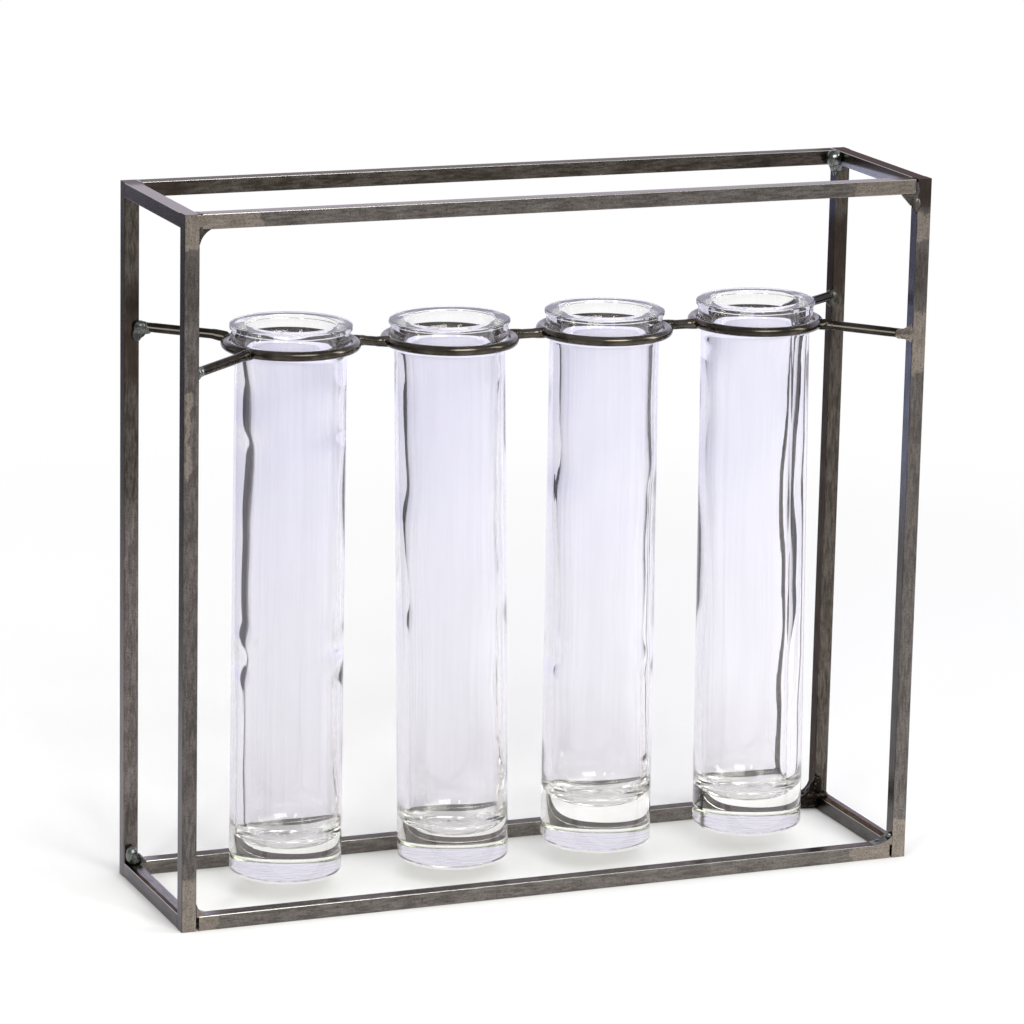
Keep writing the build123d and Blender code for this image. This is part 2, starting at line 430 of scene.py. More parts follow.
def bar_places(tree, place, facing):
    """Where a spot is on the frame, and masks for its region and for the way it faces."""
    axes = separate(tree, place)
    return SimpleNamespace(
        across=axes["X"],
        depth=axes["Y"],
        height=axes["Z"],
        forward=ramp(tree, facing["Y"], -0.9, -0.7, 1.0, 0.0),
        leftward=ramp(tree, facing["X"], -0.95, -0.8, 1.0, 0.0),
        level=ramp(tree, facing["Z"], 0.7, 0.95),
        high=span(tree, axes["Z"], *upper_half),
        low=span(tree, axes["Z"], *upper_half, 1.0, 0.0),
        rear=span(tree, axes["Y"], *rear_side),
        left=span(tree, axes["X"], *left_side, 1.0, 0.0),
        right=span(tree, axes["X"], *right_side),
    )


def steel_with_painted_shade(tree, where, tone, dark, light):
    """The bars' colour, with painted shade at the rear high up and at the right, and painted light low at
    the rear left.
    """
    bright = blend(tree, tone, dark, light)
    # Painted shade: the dull colour at the rear high up and at the right
    dull = blend(tree, tone, colour(66, 60, 52), colour(106, 100, 91))
    painted_shade_rear = multiply(tree, where.rear, calculate(tree, "MAXIMUM", where.high, where.right))
    base = blend(tree, painted_shade_rear, bright, dull)
    # Painted light: the pale colour low at the rear left
    pale = blend(tree, tone, colour(112, 104, 98), colour(152, 143, 136))
    painted_light_rear_left = multiply(tree, where.rear, where.left, where.forward, where.low, 0.6)
    return blend(tree, painted_light_rear_left, base, pale)


def side_steel_with_painted_light(tree, where, tone, base):
    """Painted shade on the left faces, with a painted bluish reflection and pale band high up at the right.
    Also how metallic they are.
    """
    # Painted shade on the left faces
    painted_side_shade = calculate(tree, "MULTIPLY_ADD", where.rear, -0.35, 0.65)
    painted_side_shade = calculate(tree, "MULTIPLY_ADD", multiply(tree, where.rear, where.right), 0.25, painted_side_shade)
    base = blend(tree, multiply(tree, where.leftward, painted_side_shade), base, colour(48, 46, 43))
    # Painted reflection: bluish high up on the left faces at the right, with a pale band along the top rail
    lowered = calculate(tree, "MULTIPLY_ADD", where.rear, -painted_blue_rear_rise * mm, where.height)
    painted_blue_mask = multiply(tree, where.leftward, where.right, span(tree, lowered, *painted_blue_from))
    blue = blend(tree, tone, colour(86, 89, 102), colour(108, 112, 128))
    sloped = calculate(tree, "MULTIPLY_ADD", where.depth, painted_band_slope, where.height)
    lower = span(tree, sloped, *painted_band_top, 1.0, 0.0)
    painted_band_reflection = blend(tree, lower, colour(96, 88, 80), colour(176, 178, 196))
    over = span(tree, where.height, *painted_band_foot)
    base = blend(tree, painted_blue_mask, base, blend(tree, over, blue, painted_band_reflection))
    # The painted pale band is made less metallic, so that it shows pale
    painted_band_mask = multiply(tree, painted_blue_mask, over, lower)
    return base, ramp(tree, painted_band_mask, 0.0, 1.0, 1.0, 0.3)


def marked_steel(tree, place, where, tone, speckle, base):
    """Places that are scorched, dimmed or filed bright, and dark specks all over."""
    scorched = front_mask(tree, place, where, front_scorches, scorch_softness, 0.8)
    scorched_rear = multiply(tree, mask_of(tree, place, rear_scorches, scorch_softness), where.rear, 0.8)
    scorched = calculate(tree, "MAXIMUM", scorched, scorched_rear)
    base = blend(tree, scorched, base, colour(60, 49, 41))
    dimmed = front_mask(tree, place, where, front_dims, scorch_softness, 0.4)
    base = blend(tree, dimmed, base, colour(60, 54, 48))
    filed = front_mask(tree, place, where, filed_boxes, filed_softness, 1.0)
    base = blend(tree, filed, base, blend(tree, tone, colour(138, 130, 117), colour(160, 151, 137)))
    return blend(tree, ramp(tree, speckle, 0.5, 0.65, 0.0, 0.6), base, colour(62, 56, 49))


def tops_with_painted_reflection(tree, where, base):
    """The tops of the upper rails, with a painted reflection that is darker at the rear and at the right.
    """
    # Painted reflection: a colour for the tops, set by where the rail stands
    tops = blend(tree, where.rear, colour(144, 140, 136), colour(100, 95, 91))
    tops = blend(tree, where.right, tops, colour(72, 64, 58))
    return blend(tree, multiply(tree, where.level, where.high), base, tops)


def painted_glancing_tint(tree, where):
    """The tint of glancing reflections, painted rail by rail on the tops and as painted shade at the rear
    right.
    """
    high_tint = blend(tree, where.rear, colour(232, 226, 222), colour(190, 184, 180))
    high_tint = blend(tree, where.right, high_tint, colour(156, 145, 138))
    # Painted reflection: stripes on the tops of the short bottom rails
    painted_left_stripe = span(tree, where.across, *painted_left_stripe_edge)
    left_tint = blend(tree, painted_left_stripe, colour(150, 142, 138), colour(250, 248, 255))
    painted_right_stripe = span(tree, where.across, *painted_right_stripe_edge)
    right_tint = blend(tree, painted_right_stripe, colour(150, 139, 131), colour(214, 206, 214))
    low_tint = blend(tree, where.left, colour(192, 189, 190), left_tint)
    low_tint = blend(tree, where.right, low_tint, right_tint)
    tint = blend(tree, where.high, low_tint, high_tint)
    tint = blend(tree, where.level, white, tint)
    # Painted shade: a dimmer tint on the left faces at the rear right
    painted_shade_rear_right = multiply(tree, where.leftward, where.rear, where.right)
    return blend(tree, painted_shade_rear_right, tint, colour(200, 196, 196))


def highlit_edges(tree, normal, facing):
    """A mask of the rounded edges that face up and to the front, where a highlight is painted."""
    sides = node(tree, "VectorMath", {0: normal}, operation="ABSOLUTE").outputs[0]
    sides = separate(tree, sides)
    flat = calculate(tree, "MAXIMUM", sides["X"], sides["Y"])
    flat = calculate(tree, "MAXIMUM", flat, sides["Z"])
    rounded = ramp(tree, flat, 0.85, 0.97, 1.0, 0.0)
    upward = ramp(tree, facing["Z"], 0.15, 0.4)
    ahead = ramp(tree, facing["Y"], -0.1, 0.1, 1.0, 0.0)
    return multiply(tree, rounded, upward, ahead)


def make_bar_steel(name, stretch, dark, light):
    """Drawn steel bar: mottled, filed bright beside the front welds and scorched beside others, with
    painted shade, reflections and edge highlights.
    """
    material, tree, shader, place = start_material(name)
    normal = node(tree, "NewGeometry").outputs["Normal"]
    facing = separate(tree, normal)
    where = bar_places(tree, place, facing)
    streaks = noise(tree, stretched(tree, place, stretch), scale=1100, detail=5, roughness=0.7)
    cloud = noise(tree, place, scale=90, detail=4, roughness=0.6)
    speckle = noise(tree, place, scale=2200, detail=3, roughness=0.7)
    tone = calculate(tree, "MULTIPLY_ADD", streaks, 0.7, multiply(tree, cloud, 0.3))
    tone = ramp(tree, tone, 0.38, 0.62)
    base = steel_with_painted_shade(tree, where, tone, dark, light)
    base, metallic = side_steel_with_painted_light(tree, where, tone, base)
    base = marked_steel(tree, place, where, tone, speckle, base)
    base = tops_with_painted_reflection(tree, where, base)
    # Painted highlight: a light colour on the rounded edges that face up and to the front
    base = blend(tree, highlit_edges(tree, normal, facing), base, colour(214, 211, 204))
    fill(tree, shader, {
        "Base Color": base,
        "Metallic": metallic,
        "Specular Tint": painted_glancing_tint(tree, where),
        "Roughness": calculate(tree, "MULTIPLY_ADD", speckle, 0.16, 0.14),
        "Normal": bump(tree, streaks, strength=0.2, depth=0.05),
    })
    return material


# Wire, weld metal and glass


def make_wire_steel(name, dark, light, painted_highlight_share):
    """Glossy dark wire, with a highlight painted along its left side at a share given by the last argument.
    """
    material, tree, shader, place = start_material(name)
    cloud = noise(tree, place, scale=160, detail=3)
    speckle = noise(tree, place, scale=1500, detail=2)
    facing = separate(tree, node(tree, "NewGeometry").outputs["Normal"])
    under = ramp(tree, facing["Z"], -0.04, 0.06)
    over = ramp(tree, facing["Z"], 0.24, 0.34, 1.0, 0.0)
    leftward = ramp(tree, facing["X"], -0.5, -0.35, painted_highlight_share, 0.0)
    base = blend(tree, ramp(tree, cloud, 0.35, 0.65), dark, light)
    # Painted highlight: a pale band on the left side of the wire
    base = blend(tree, multiply(tree, leftward, under, over), base, colour(235, 228, 208))
    fill(tree, shader, {
        "Base Color": base,
        "Metallic": 1.0,
        "Roughness": calculate(tree, "MULTIPLY_ADD", speckle, 0.14, 0.14),
        "Normal": bump(tree, speckle, strength=0.15, depth=0.04),
    })
    return material


def make_weld_metal(name, dark, light, roughness, ground=True):
    """Weld metal with heat tints. Ground weld is filed bright at the bars' front and painted dark as shade
    in the slits.
    """
    material, tree, shader, place = start_material(name)
    cloud = noise(tree, place, scale=400, detail=4, roughness=0.6)
    speckle = noise(tree, place, scale=1800, detail=3, roughness=0.6)
    base = blend(tree, ramp(tree, cloud, 0.38, 0.62), dark, light)
    base = blend(tree, ramp(tree, speckle, 0.6, 0.75, 0.0, 0.5), base, colour(150, 146, 136))
    if ground:
        axes = separate(tree, place)
        facing = separate(tree, node(tree, "NewGeometry").outputs["Normal"])
        flush = span(tree, axes["Y"], *filed_depth, 1.0, 0.0)
        forward = ramp(tree, facing["Y"], -0.95, -0.8, 1.0, 0.0)
        filed = blend(tree, speckle, colour(112, 104, 92), colour(158, 148, 133))
        # Painted shade: the slits at the bottom corners are painted nearly black
        painted_slit_shade = span(tree, axes["Z"], *painted_slit_top, 1.0, 0.0)
        filed = blend(tree, painted_slit_shade, filed, colour(24, 19, 15))
        base = blend(tree, multiply(tree, flush, forward), base, filed)
    fill(tree, shader, {
        "Base Color": base,
        "Metallic": 1.0,
        "Roughness": calculate(tree, "MULTIPLY_ADD", speckle, 0.14, roughness),
        "Normal": bump(tree, cloud, strength=0.3, depth=0.3),
    })
    return material


def glass_film(tree, place, height, striations):
    """The faint grey of the glass: streaked all over, and a little deeper toward the foot."""
    smears = noise(tree, stretched(tree, place, (1.0, 1.0, 0.3)), scale=130, detail=4, roughness=0.6)
    haze = calculate(tree, "MULTIPLY_ADD", striations, 0.5, multiply(tree, smears, 0.5))
    film = blend(tree, ramp(tree, haze, 0.4, 0.6), film_grey, white)
    foot = blend(tree, span(tree, height, *low_until), low_grey, white)
    foot = blend(tree, span(tree, height, *foot_until), foot_grey, foot)
    inputs = {0: 1.0, 6: film, 7: foot}
    return node(tree, "Mix", inputs, data_type="RGBA", blend_type="MULTIPLY").outputs[2]


def glass_underside(tree, height):
    """A mask of the flat faces under the tubes."""
    facing = separate(tree, node(tree, "NewGeometry").outputs["True Normal"])
    flat = ramp(tree, calculate(tree, "ABSOLUTE", facing["Z"]), 0.8, 0.95)
    return multiply(tree, flat, span(tree, height, *underside_until, 1.0, 0.0))


def make_glass():
    """Clear soda glass with fine drawn striations and an uneven underside."""
    material, tree, shader, place = start_material("clear_glass")
    height = separate(tree, place)["Z"]
    striations = noise(tree, stretched(tree, place, (1.0, 1.0, 0.012)), scale=1100, detail=3)
    under = glass_underside(tree, height)
    patches = noise(tree, stretched(tree, place, (1.0, 0.35, 1.0)), scale=260, detail=5, roughness=0.65)
    patches = blend(tree, ramp(tree, patches, 0.4, 0.62), *patch_tints)
    uneven = node(tree, "Bump", {
        "Height": noise(tree, place, scale=260, detail=4, roughness=0.6),
        "Strength": multiply(tree, under, 0.6),
        "Distance": 0.5 * mm,
        "Normal": bump(tree, striations, strength=0.1, depth=0.05),
    })
    fill(tree, shader, {
        "Base Color": glass_film(tree, place, height, striations),
        "Specular Tint": blend(tree, under, white, patches),
        "Roughness": 0.0,
        "IOR": glass_bending,
        "Transmission Weight": 1.0,
        "Normal": uneven.outputs[0],
    })
    lamp_ray = node(tree, "LightPath").outputs["Is Shadow Ray"]
    clear = node(tree, "BsdfTransparent", {"Color": glass_shadow})
    surface = node(tree, "MixShader", {0: lamp_ray, 1: shader.outputs[0], 2: clear.outputs[0]})
    inside = node(tree, "VolumeAbsorption", {"Color": glass_depth, "Density": glass_density})
    output = tree.nodes["Material Output"]
    fill(tree, output, {"Surface": surface.outputs[0], "Volume": inside.outputs[0]})
    return material


# Glass tubes


def rounded_profile(corners):
    """Points along a profile of (radius, height, rounding) corners, with arcs at the rounded ones."""
    flat = [Vector(corner[:2]) for corner in corners]
    points = [flat[0]]
    for index in range(1, len(flat) - 1):
        back = (flat[index - 1] - flat[index]).normalized()
        ahead = (flat[index + 1] - flat[index]).normalized()
        half = math.acos(max(-1.0, min(1.0, back.dot(ahead)))) / 2
        rounding = corners[index][2]
        tangent = rounding / math.tan(half)
        centre = flat[index] + (back + ahead).normalized() * rounding / math.sin(half)
        start = flat[index] + back * tangent
        end = flat[index] + ahead * tangent
        first = math.atan2(start.y - centre.y, start.x - centre.x)
        sweep = math.atan2(end.y - centre.y, end.x - centre.x) - first
        sweep = (sweep + math.pi) % (2 * math.pi) - math.pi
        count = max(2, math.ceil(abs(sweep) / arc_step))
        extend_straight(points, start)
        for step in range(1, count + 1):
            angle = first + sweep * step / count
            points.append(centre + rounding * Vector((math.cos(angle), math.sin(angle))))
    extend_straight(points, flat[-1])
    return np.array(points)


def extend_straight(points, end):
    """Adds a straight run from the last point to end, in steps."""
    start = points[-1]
    count = max(1, math.ceil((end - start).length / profile_step))
    for step in range(1, count + 1):
        points.append(start.lerp(end, step / count))


def tube_profile(number):
    """The (radius, height) points of a tube: from under its middle, out, up, over the lip and down."""
    tube_foot = tube_feet[number - 1]
    cavity_floor = tube_foot + base_thicknesses[number - 1]
    lip_rise = lip_rises[number - 1]
    lip_foot = lip_rise - lip_heights[number - 1]
    return rounded_profile([
        (0, tube_foot + hollow_rise, 0),
        (hollow_radius, tube_foot + hollow_rise, hollow_rounding),
        (hollow_radius + hollow_slope, tube_foot, hollow_rounding),
        (base_radius, tube_foot, heel_rounding),
        (body_radius, neck_foot, shoulder_rounding),
        (neck_radius, neck_top, neck_rounding),
        (neck_radius, lip_foot - lip_slope, lip_foot_rounding),
        (lip_radius, lip_foot, lip_edge_rounding),
        (lip_radius, lip_rise, lip_top_rounding),
        (bore_radius, lip_rise, mouth_rounding),
        (bore_radius, cavity_floor, cavity_rounding),
        (0, cavity_floor, 0),
    ])


def smooth_curve(points, heights):
    """Values at some heights along a curve that eases from point to point."""
    ends = sorted(points)
    total = np.full(len(heights), float(ends[0][1]))
    for (low, first), (high, second) in zip(ends, ends[1:]):
        share = np.clip((heights - low) / (high - low), 0, 1)
        total += (second - first) * share * share * (3 - 2 * share)
    return total


def wall_waves(number, angles, heights):
    """How far the bore of a tube stands out from a true cylinder, in millimetres."""
    draw = random.Random(number)
    total = smooth_curve(bore_drifts[number - 1], heights)[:, None] * np.cos(angles + camera_yaw)[None, :]
    for lobes, wave_length, reach in bore_waves:
        turn = draw.uniform(0, 2 * math.pi)
        phase = draw.uniform(0, 2 * math.pi)
        twist = draw.uniform(-1, 1)
        wave = 2 * math.pi * heights[:, None] / wave_length
        total += reach * np.cos(lobes * angles[None, :] + turn + twist * wave) * np.cos(wave + phase)
    return total


def seam_ridges(number, angles):
    """The two thin mould seams that run up the outside of a tube."""
    total = np.zeros(len(angles))
    for opposite in (0, math.pi):
        turn = -math.pi / 2 - camera_yaw + math.radians(seam_turns[number - 1]) + opposite
        gap = (angles - turn + math.pi) % (2 * math.pi) - math.pi
        total += seam_reach * np.exp(-(gap / seam_width) ** 2)
    return total


def tube_surface(number, profile, angles):
    """How far out and how high a tube's points lie, ring by ring, with its waves and seams."""
    radii = profile[1:-1, 0]
    heights = profile[1:-1, 1]
    inside_from = int(np.argmax(heights)) + 2
    waves = wall_waves(number, angles, heights)
    inside = np.zeros(len(heights))
    inside[inside_from:] = np.clip((lip_rises[number - 1] - heights[inside_from:]) / wave_onset, 0, 1)
    fade = np.clip(radii / bore_radius, 0, 1)
    outside = (np.arange(len(heights)) < inside_from) & (radii > body_radius - seam_margin)
    reach = radii[:, None] + waves * (inside * fade)[:, None]
    reach += seam_ridges(number, angles)[None, :] * outside[:, None]
    lift = heights[:, None] - cavity_floor_share * waves * (inside * (1 - fade))[:, None]
    return reach, lift


def turned_faces(rings):
    """Faces between rings of points, closed at both ends by the two points that follow the rings."""
    faces = []
    for ring in range(rings - 1):
        for turn in range(turn_count):
            after = (turn + 1) % turn_count
            faces.append((
                ring * turn_count + turn,
                ring * turn_count + after,
                (ring + 1) * turn_count + after,
                (ring + 1) * turn_count + turn,
            ))
    first_middle = rings * turn_count
    last_ring = first_middle - turn_count
    for turn in range(turn_count):
        after = (turn + 1) % turn_count
        faces.append((first_middle, after, turn))
        faces.append((first_middle + 1, last_ring + turn, last_ring + after))
    return faces


def make_tube(number, material):
    """One wavy glass tube, hung by its lip in its ring."""
    low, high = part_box(f"ring_{number}")
    centre = (low + high) / 2
    axis = np.array(joint_axes[f"tube_{number}"])
    across = np.array((axis[2], 0, -axis[0]))
    backward = np.array((0, 1, 0))
    profile = tube_profile(number)
    angles = np.arange(turn_count) * 2 * math.pi / turn_count
    reach, lift = tube_surface(number, profile, angles)
    places = (
        reach[:, :, None] * np.cos(angles)[None, :, None] * across
        + reach[:, :, None] * np.sin(angles)[None, :, None] * backward
        + lift[:, :, None] * axis
    )
    points = [*places.reshape(-1, 3), axis * profile[0, 1], axis * profile[-1, 1]]
    mesh = bpy.data.meshes.new(f"glass_{number}")
    mesh.from_pydata([tuple(centre + Vector(point) * mm) for point in points], [], turned_faces(len(lift)))
    mesh.polygons.foreach_set("use_smooth", [True] * len(mesh.polygons))
    mesh.materials.append(material)
    mesh.update()
    tube = bpy.data.objects.new(f"wavy_tube_{number}", mesh)
    bpy.context.scene.collection.objects.link(tube)
    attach(tube, f"tube_{number}")
    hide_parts(f"glass_tube_{number}")


# Welds


weld_texture = bpy.data.textures.new("lumps", "CLOUDS")
weld_texture.noise_scale = weld_grain * mm


def lump_mesh(name, lumps):
    """A mesh of stretched spheres, one for each lump."""
    points = []
    faces = []
    for x, y, z, x_radius, y_radius, z_radius in lumps:
        first = len(points)
        for row in range(sphere_rows + 1):
            rise = math.pi * (row / sphere_rows - 0.5)
            level = math.cos(rise)
            for turn in range(sphere_turns):
                angle = 2 * math.pi * turn / sphere_turns
                points.append((
                    (x + x_radius * level * math.cos(angle)) * mm,
                    (y + y_radius * level * math.sin(angle)) * mm,
                    (z + z_radius * math.sin(rise)) * mm,
                ))
        for row in range(sphere_rows):
            for turn in range(sphere_turns):
                after = (turn + 1) % sphere_turns
                low = first + row * sphere_turns
                high = low + sphere_turns
                faces.append((low + turn, low + after, high + after, high + turn))
    mesh = bpy.data.meshes.new(name)
    mesh.from_pydata(points, [], faces)
    return mesh


def make_weld(name, lumps, material, roughness, replaced=None):
    """A piece of weld metal: a few round lumps that are run together and roughened."""
    mesh = lump_mesh(name, lumps)
    mesh.materials.append(material)
    weld = bpy.data.objects.new(name, mesh)
    bpy.context.scene.collection.objects.link(weld)
    join = weld.modifiers.new("join", "REMESH")
    join.mode = "VOXEL"
    join.voxel_size = weld_voxel * mm
    join.use_smooth_shade = True
    soften = weld.modifiers.new("soften", "SMOOTH")
    soften.iterations = weld_smoothing
    rough = weld.modifiers.new("rough", "DISPLACE")
    rough.texture = weld_texture
    rough.strength = roughness * mm
    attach(weld, "rack")
    if replaced:
        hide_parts(replaced)


def flush_lumps(boxes):
    """Rows of small lumps whose fronts make one flat face."""
    lumps = []
    for (left, low), (right, high) in boxes:
        for x in np.arange(left, right + flush_step / 2, flush_step):
            for z in np.arange(low, high + flush_step / 2, flush_step):
                lumps.append((x, flush_front + flush_radius, z, flush_radius, flush_radius, flush_radius))
    return lumps


def post_edge(corner):
    """The inner edge of a post at the height of its arm, in millimetres."""
    post_low, post_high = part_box(f"post_{corner}")
    weld_low, weld_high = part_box(f"arm_post_weld_{corner}")
    return Vector((
        post_low.x if corner.endswith("right") else post_high.x,
        post_high.y if corner.startswith("front") else post_low.y,
        (weld_low.z + weld_high.z) / 2,
    )) / mm


def arm_stub(edge, far_end):
    """The end of an arm's wire at the inner edge of its post, as lumps in a row along the wire."""
    inward = (far_end - edge).normalized()
    lumps = []
    for reach in np.arange(0, arm_stub_length, arm_stub_step):
        lumps.append((*(edge + inward * reach), arm_stub_radius, arm_stub_radius, arm_stub_radius))
    return lumps


def wire_end(name, toward):
    """The middle of the cut end of a straight wire, in millimetres, on the side that faces toward."""
    places = [vertex.co / mm for vertex in nodes[name].data.vertices]
    reach = max(place.dot(toward) for place in places)
    rim = [place for place in places if place.dot(toward) > reach - wire_end_depth]
    return sum(rim, Vector()) / len(rim)


def ring_joint(start, ring_name):
    """Lumps of weld from the end of a wire at start, in millimetres, into the wire of a ring."""
    low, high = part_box(ring_name)
    centre = (low + high) / (2 * mm)
    outward = Vector((start.x - centre.x, start.y - centre.y, 0)).normalized()
    wire_radius = (high.z - low.z) / (2 * mm)
    end = centre + outward * ((high.x - low.x) / (2 * mm) - wire_radius)
    end.z = (start.z + end.z) / 2
    lumps = []
    for index, radius in enumerate(ring_joint_radii):
        place = start.lerp(end, index / len(ring_joint_radii))
        lumps.append((*place, radius, radius, radius))
    nib = end + outward * nib_reach + nib_shift
    lumps.append((*nib, nib_radius, nib_radius, nib_radius))
    return lumps


# Stage, light and camera


def camera_axes():
    """The camera's right, up and forward directions."""
    forward = Vector((
        math.sin(camera_yaw) * math.cos(camera_pitch),
        math.cos(camera_yaw) * math.cos(camera_pitch),
        -math.sin(camera_pitch),
    ))
    level_right = Vector(camera_side)
    level_up = level_right.cross(forward)
    right = math.cos(camera_roll) * level_right + math.sin(camera_roll) * level_up
    up = -math.sin(camera_roll) * level_right + math.cos(camera_roll) * level_up
    return right, up, forward


def make_camera():
    """The camera, turned to the vase and rolled a little."""
    right, up, forward = camera_axes()
    data = bpy.data.cameras.new("camera")
    data.sensor_width = sensor_width
    data.lens = sensor_width * focal_pixels / image_size
    data.clip_end = clip_distance
    camera = bpy.data.objects.new("camera", data)
    turn = Matrix((right, up, -forward)).transposed().to_4x4()
    camera.matrix_world = Matrix.Translation(camera_place) @ turn
    bpy.context.scene.collection.objects.link(camera)
    bpy.context.scene.camera = camera


def shown_plainly(tree):
    """One for what the camera sees directly or through one wall of glass, and nothing for the rest."""
    path = node(tree, "LightPath")
    through = calculate(tree, "COMPARE", path.outputs["Transmission Depth"], 2.0, 0.5)
    unmirrored = calculate(tree, "LESS_THAN", path.outputs["Glossy Depth"], 0.5)
    through = multiply(tree, through, unmirrored)
    return calculate(tree, "MAXIMUM", path.outputs["Is Camera Ray"], through)


def studio_tint(tree, ahead):
    """The studio's colour, which is dim in front and pale ahead of the camera."""
    return blend(tree, ramp(tree, ahead, *studio_turn), studio_dim, studio_pale)


def mirrored_floor(tree, aside, behind, distance):
    """The floor that the vase mirrors: a lit sheet as wide as a studio table, and dim gaps beside it."""
    back = ramp(tree, behind, *sheet_ends)
    left = blend(tree, back, *sheet_left)
    right = blend(tree, back, *sheet_right)
    sheet = blend(tree, ramp(tree, aside, *sheet_sides), left, right)
    sheet = blend(tree, ramp(tree, behind, *sheet_front), colour(205, 203, 206), sheet)
    spread = calculate(tree, "MULTIPLY_ADD", behind, -sheet_widening, calculate(tree, "ABSOLUTE", aside))
    beside = ramp(tree, spread, *gap_edge)
    started = ramp(tree, behind, *gap_start)
    unended = ramp(tree, distance, *gap_end, 1.0, 0.0)
    gap = multiply(tree, beside, started, unended)
    return blend(tree, gap, sheet, colour(70, 66, 70))


def plain_floor(tree, aside):
    """The floor that the camera sees: pale, with a shadow painted from ambient occlusion close under the
    vase.
    """
    plain = blend(tree, ramp(tree, aside, *floor_sides), floor_left, floor_right)
    open_sky = node(tree, "AmbientOcclusion", {"Distance": shadow_reach * mm}, samples=8).outputs["AO"]
    return blend(tree, ramp(tree, open_sky, 0.0, 1.0, shadow_share, 0.0), plain, floor_shadow)


def make_floor_material():
    """A pale floor that turns white for the camera and into the studio for reflections, far away."""
    material = bpy.data.materials.new("floor")
    material.use_nodes = True
    tree = material.node_tree
    tree.nodes.remove(tree.nodes["Principled BSDF"])
    place = node(tree, "TexCoord").outputs["Object"]
    aside = reach_along(tree, place, camera_side)
    behind = reach_along(tree, place, camera_away)
    distance = node(tree, "VectorMath", {0: place}, operation="LENGTH").outputs["Value"]
    seen = node(tree, "LightPath").outputs["Is Camera Ray"]
    shown = multiply(tree, shown_plainly(tree), ramp(tree, behind, *plain_through_glass))
    shown = calculate(tree, "MAXIMUM", shown, seen)
    paint = blend(tree, shown, mirrored_floor(tree, aside, behind, distance), plain_floor(tree, aside))
    near = node(tree, "BsdfDiffuse", {"Color": paint})
    ahead = calculate(tree, "DIVIDE", behind, distance)
    backdrop = node(tree, "Emission", {"Color": studio_tint(tree, ahead)})
    bare = node(tree, "Emission", {"Color": white})
    beyond = ramp(tree, distance, *studio_from)
    mix = node(tree, "MixShader", {0: beyond, 1: near.outputs[0], 2: backdrop.outputs[0]})
    far = multiply(tree, ramp(tree, distance, *white_from), shown)
    mix = node(tree, "MixShader", {0: far, 1: mix.outputs[0], 2: bare.outputs[0]})
    fill(tree, tree.nodes["Material Output"], {"Surface": mix.outputs[0]})
    return material


def make_floor():
    """The floor on which the vase stands."""
    ends = (-floor_size, floor_size)
    mesh = bpy.data.meshes.new("floor")
    mesh.from_pydata([(x, y, 0) for y in ends for x in ends], [], [(0, 1, 3, 2)])
    mesh.materials.append(make_floor_material())
    floor = bpy.data.objects.new("floor", mesh)
    bpy.context.scene.collection.objects.link(floor)
    floor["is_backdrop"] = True


def make_world():
    """White all round for the camera, and a dim studio with a pale backdrop for reflections."""
    world = bpy.data.worlds.new("studio")
    world.use_nodes = True
    tree = world.node_tree
    toward = node(tree, "TexCoord").outputs["Generated"]
    rise = separate(tree, toward)["Z"]
    tint = studio_tint(tree, reach_along(tree, toward, camera_away))
    tint = blend(tree, ramp(tree, rise, *ceiling_from), tint, studio_ceiling)
    tint = blend(tree, shown_plainly(tree), tint, white)
    fill(tree, tree.nodes["Background"], {"Color": tint})
    bpy.context.scene.world = world


def make_lamp(name, turn, rise, distance, width, height, power, mirrored=True):
    """A soft box that looks at the vase from a turn to the right of the camera and a rise."""
    azimuth = camera_yaw - math.radians(turn)
    elevation = math.radians(rise)
    level = Vector((-math.sin(azimuth), -math.cos(azimuth), 0))
    toward = level * math.cos(elevation) + Vector((0, 0, math.sin(elevation)))
    data = bpy.data.lights.new(name, "AREA")
    data.shape = "RECTANGLE"
    data.size = width
    data.size_y = height
    data.energy = power
    lamp = bpy.data.objects.new(name, data)
    lamp.location = lamp_target + toward * distance
    lamp.rotation_mode = "QUATERNION"
    lamp.rotation_quaternion = (-toward).to_track_quat("-Z", "Y")
    lamp.visible_camera = False
    lamp.visible_glossy = mirrored
    bpy.context.scene.collection.objects.link(lamp)


# Finishes of the solids that are shown as they are
post_tones = (colour(91, 87, 81), colour(126, 121, 114))
rail_tones = (colour(99, 95, 88), colour(135, 130, 122))
bar_materials = {
    "post": make_bar_steel("bar_steel_upright", (1.0, 1.0, 0.15), *post_tones),
    "long": make_bar_steel("bar_steel_long", (0.15, 1.0, 1.0), *rail_tones),
    "short": make_bar_steel("bar_steel_short", (1.0, 0.15, 1.0), *rail_tones),
}
wire_material = make_wire_steel("wire_steel", colour(64, 59, 52), colour(93, 87, 78), 0.0)
# The arms' wire carries a painted highlight
arm_material = make_wire_steel("arm_steel", colour(44, 40, 34), colour(70, 65, 57), 0.6)
weld_material = make_weld_metal("weld_metal", colour(76, 78, 73), colour(122, 127, 121), 0.17)
filed_material = make_weld_metal("filed_weld", colour(122, 115, 103), colour(156, 147, 133), 0.2)
burnt_material = make_weld_metal("burnt_weld", colour(20, 17, 14), colour(40, 34, 28), 0.3)
dark_material = make_weld_metal("dark_weld", colour(54, 53, 46), colour(90, 89, 80), 0.22)
dull_shaded_material = make_weld_metal("dull_shaded_weld", colour(70, 66, 60), colour(102, 97, 89), 0.3, ground=False)

arm_names = [f"arm_{corner}" for corner in arm_lumps]
for name, part in nodes.items():
    if name.startswith("post"):
        finish = bar_materials["post"]
    elif name.startswith("rail"):
        finish = bar_materials["short" if name.endswith(("left", "right")) else "long"]
    elif name.startswith("weld"):
        finish = weld_material
    elif name in arm_names:
        finish = arm_material
    else:
        finish = wire_material
    part.data.materials[0] = finish
nodes["weld_bottom_rear_right"].data.materials[0] = burnt_material
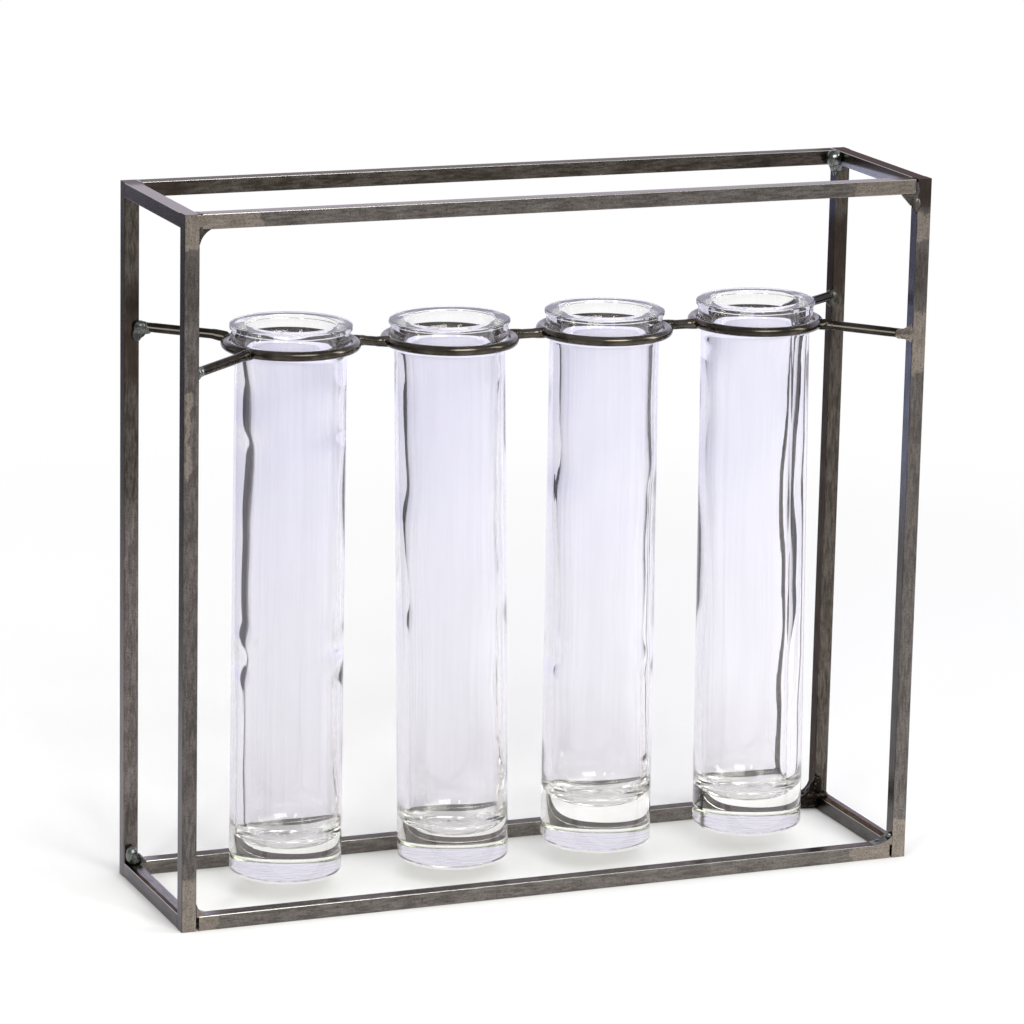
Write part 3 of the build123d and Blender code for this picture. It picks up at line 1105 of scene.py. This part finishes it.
# The fillets at the top front corners take the darker dull weld, which on the top front left fillet is
# painted shade of its recess
for corner in ("top_front_left", "top_front_right"):
    nodes[f"weld_{corner}"].data.materials[0] = dull_shaded_material

# Welds at the frame's corners and at the posts, with the finish and roughness of each arm's weld
arm_finishes = {
    "front_left": (weld_material, 0.2),
    "front_right": (filed_material, smooth_weld),
    "rear_left": (weld_material, 0.12),
    "rear_right": (dark_material, 0.4),
}
for corner, lumps in corner_lumps.items():
    finish = dull_shaded_material if corner == "top_front_right" else weld_material
    replaced = "weld_bottom_rear_left" if corner == "bottom_rear_left" else None
    make_weld(f"bead_{corner}", lumps, finish, bead_roughness, replaced)
make_weld("bead_bottom_rear_right", burnt_lumps, burnt_material, burnt_roughness)
for corner, boxes in flush_boxes.items():
    make_weld(f"flush_{corner}", flush_lumps(boxes), filed_material, smooth_weld)
for corner, lumps in arm_lumps.items():
    finish, roughness = arm_finishes[corner]
    make_weld(f"arm_bead_{corner}", lumps, finish, roughness, f"arm_post_weld_{corner}")

# Joints of the links and the arms with the rings
for number in range(1, tube_count):
    left_end = wire_end(f"link_{number}", Vector((-1, 0, 0)))
    right_end = wire_end(f"link_{number}", Vector((1, 0, 0)))
    lumps = ring_joint(left_end, f"ring_{number}") + ring_joint(right_end, f"ring_{number + 1}")
    make_weld(f"link_joint_{number}", lumps, wire_material, joint_roughness, f"link_weld_{number}")
for corner in arm_lumps:
    ring_name = "ring_1" if corner.endswith("left") else f"ring_{tube_count}"
    ring_low, ring_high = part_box(ring_name)
    edge = post_edge(corner)
    inward = ((ring_low + ring_high) / (2 * mm) - edge).normalized()
    far_end = wire_end(f"arm_{corner}", inward)
    make_weld(f"arm_stub_{corner}", arm_stub(edge, far_end), arm_material, smooth_weld)
    lumps = ring_joint(far_end - inward, ring_name)
    make_weld(f"arm_joint_{corner}", lumps, arm_material, joint_roughness, f"arm_ring_weld_{corner}")

glass_material = make_glass()
for number in range(1, tube_count + 1):
    make_tube(number, glass_material)

make_camera()
make_floor()
make_world()
make_lamp("key_box", turn=25, rise=38, distance=1.6, width=0.9, height=0.6, power=14)
make_lamp("right_box", turn=92, rise=25, distance=1.5, width=0.3, height=0.9, power=7)
make_lamp("left_box", turn=-24, rise=35, distance=1.7, width=0.2, height=0.7, power=4, mirrored=False)

scene = bpy.context.scene
scene.view_settings.view_transform = "Standard"
scene.cycles.max_bounces = 32
scene.cycles.transmission_bounces = 24
scene.cycles.glossy_bounces = 16

boxes = {"cad": cad_box, "visual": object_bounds()}
